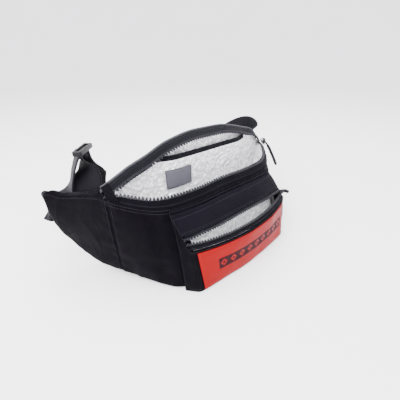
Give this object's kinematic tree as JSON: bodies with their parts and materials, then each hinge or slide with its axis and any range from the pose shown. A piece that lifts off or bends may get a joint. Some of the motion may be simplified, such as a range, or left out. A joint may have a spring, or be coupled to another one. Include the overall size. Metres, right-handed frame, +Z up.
{
  "type": "waist bag",
  "caption": "Soft waist bag with tapering wings, an open main zip, a box-shaped front pocket and an adjustable webbing belt that closes behind it.",
  "frame": {"origin": "centre of the flat underside of the main bag, on the surface that the bag stands on", "axes": "+X along the bag from the left wing to the right wing, +Y from the front pocket to the back, +Z up"},
  "size_m": [0.4393, 0.294, 0.1683],
  "materials": {
    "black_nylon": "matt woven",
    "silver_foil": "silver coated, crinkled",
    "zip_tape": "woven tape",
    "zip_teeth": "satin",
    "red_film": "smooth coated",
    "grey_leather": "soft matt",
    "webbing": "ribbed webbing",
    "black_plastic": "moulded"
  },
  "bodies": {
    "root": {"back_panel": "black_nylon", "bottom_panel": "black_nylon", "buckle": "black_plastic", "front_panel": "black_nylon", "front_zip_chain": "zip_teeth", "front_zip_tape": "zip_tape", "leather_label": "grey_leather", "left_adjuster": "black_plastic", "left_belt": "webbing", "left_strap": "webbing", "left_wing": "black_nylon", "main_lining": "silver_foil", "main_zip_pull": "webbing", "main_zip_slider": "zip_teeth", "pocket_bottom": "black_nylon", "pocket_lining": "silver_foil", "pocket_lower_chain": "zip_teeth", "pocket_lower_tape": "zip_tape", "pocket_pull": "webbing", "pocket_shell": "black_nylon", "pocket_slider": "zip_teeth", "pocket_top": "black_nylon", "pocket_upper_chain": "zip_teeth", "pocket_upper_tape": "zip_tape", "rear_zip_chain": "zip_teeth", "rear_zip_tape": "zip_tape", "red_patch": "red_film", "right_belt": "webbing", "right_wing": "black_nylon", "rim_piping": "black_nylon", "slip_pocket": "silver_foil", "slip_pocket_binding": "zip_tape"}
  },
  "joints": []
}
